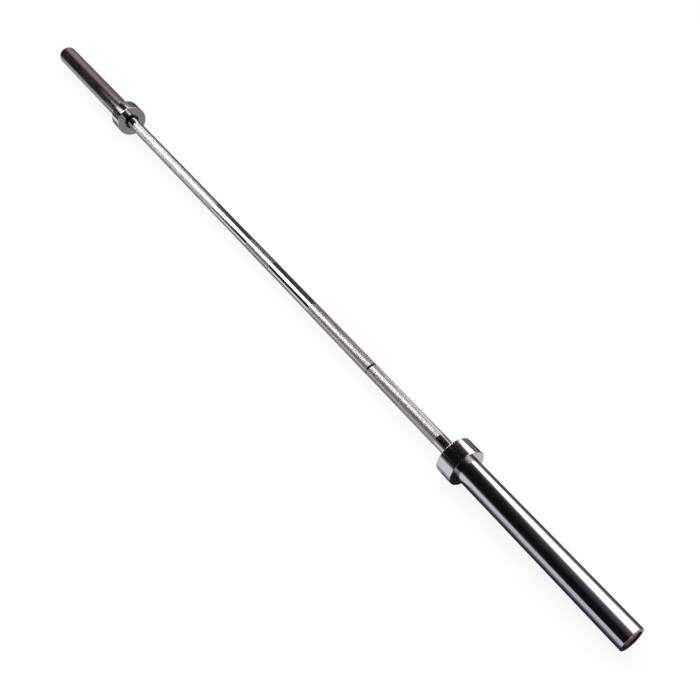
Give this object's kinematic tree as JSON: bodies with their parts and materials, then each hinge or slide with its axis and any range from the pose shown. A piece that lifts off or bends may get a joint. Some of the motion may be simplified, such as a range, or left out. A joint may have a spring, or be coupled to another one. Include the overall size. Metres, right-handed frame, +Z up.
{
  "type": "olympic barbell",
  "caption": "Long straight chrome bar with knurled grips and, at each end, a rotating plate sleeve behind a round collar.",
  "frame": {"origin": "middle of the bar's length, on its axis", "axes": "+X along the bar towards the right sleeve, +Z up, +Y away from the user"},
  "size_m": [2.2, 0.078, 0.078],
  "materials": {
    "shaft_chrome": "chrome plate over fine knurling, smooth between the knurls",
    "sleeve_chrome": "polished chrome plate",
    "collar_chrome": "polished chrome rim, turned satin faces",
    "bushing_bronze": "turned bronze, greased",
    "washer_steel": "ground steel",
    "spring_steel": "black phosphated spring steel",
    "cap_plastic": "fine moulded black plastic",
    "disc_red": "dark red disc, satin gloss"
  },
  "bodies": {
    "bar": {"shaft": "shaft_chrome", "right_inner_washer": "washer_steel", "right_outer_washer": "washer_steel", "right_inner_snap_ring": "spring_steel", "right_outer_snap_ring": "spring_steel", "left_inner_washer": "washer_steel", "left_outer_washer": "washer_steel", "left_inner_snap_ring": "spring_steel", "left_outer_snap_ring": "spring_steel"},
    "right_sleeve_unit": {"right_collar": "collar_chrome", "right_sleeve": "sleeve_chrome", "right_inner_bushing": "bushing_bronze", "right_outer_bushing": "bushing_bronze", "right_end_cap": "cap_plastic", "right_cap_disc": "disc_red"},
    "left_sleeve_unit": {"left_collar": "collar_chrome", "left_sleeve": "sleeve_chrome", "left_inner_bushing": "bushing_bronze", "left_outer_bushing": "bushing_bronze", "left_end_cap": "cap_plastic", "left_cap_disc": "disc_red"}
  },
  "joints": [
    {"name": "right_sleeve_spin", "type": "hinge", "parent": "bar", "child": "right_sleeve_unit", "pos_m": [0.88, 0, 0], "axis": [1, 0, 0], "continuous": true},
    {"name": "left_sleeve_spin", "type": "hinge", "parent": "bar", "child": "left_sleeve_unit", "pos_m": [-0.88, 0, 0], "axis": [1, 0, 0], "continuous": true}
  ]
}
